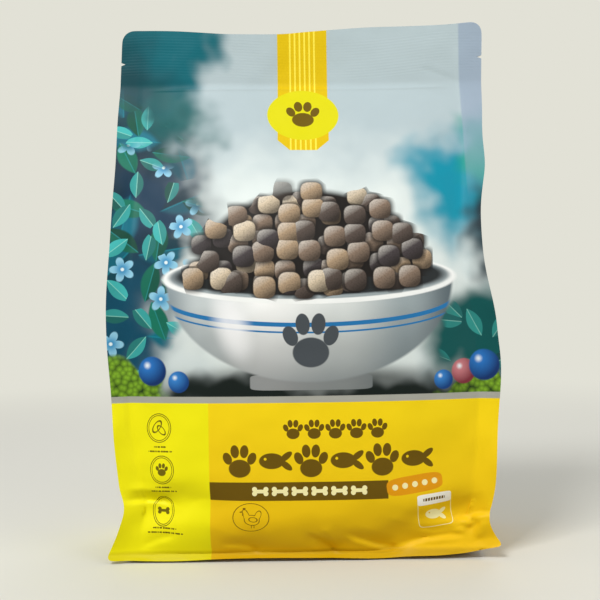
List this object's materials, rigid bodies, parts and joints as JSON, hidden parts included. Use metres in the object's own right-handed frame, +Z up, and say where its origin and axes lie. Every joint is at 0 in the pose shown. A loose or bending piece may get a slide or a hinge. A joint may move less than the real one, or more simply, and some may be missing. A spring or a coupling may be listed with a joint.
{
  "type": "pet food bag",
  "caption": "Filled flat-bottom pouch of laminated film with corner seals, folded side gussets, a flat top seal with tear notches and a zipper line, for dry pet food.",
  "frame": {"origin": "middle of the pack's overall box at the floor, under the sole", "axes": "+X to the right across the front panel as the picture shows it, +Y from the front panel to the back, +Z up to the top seal"},
  "size_m": [0.203, 0.095, 0.2866],
  "materials": {
    "printed_film": "printed and laminated film with a soft gloss"
  },
  "bodies": {
    "root": {"pet_food_bag": "printed_film"}
  },
  "joints": []
}
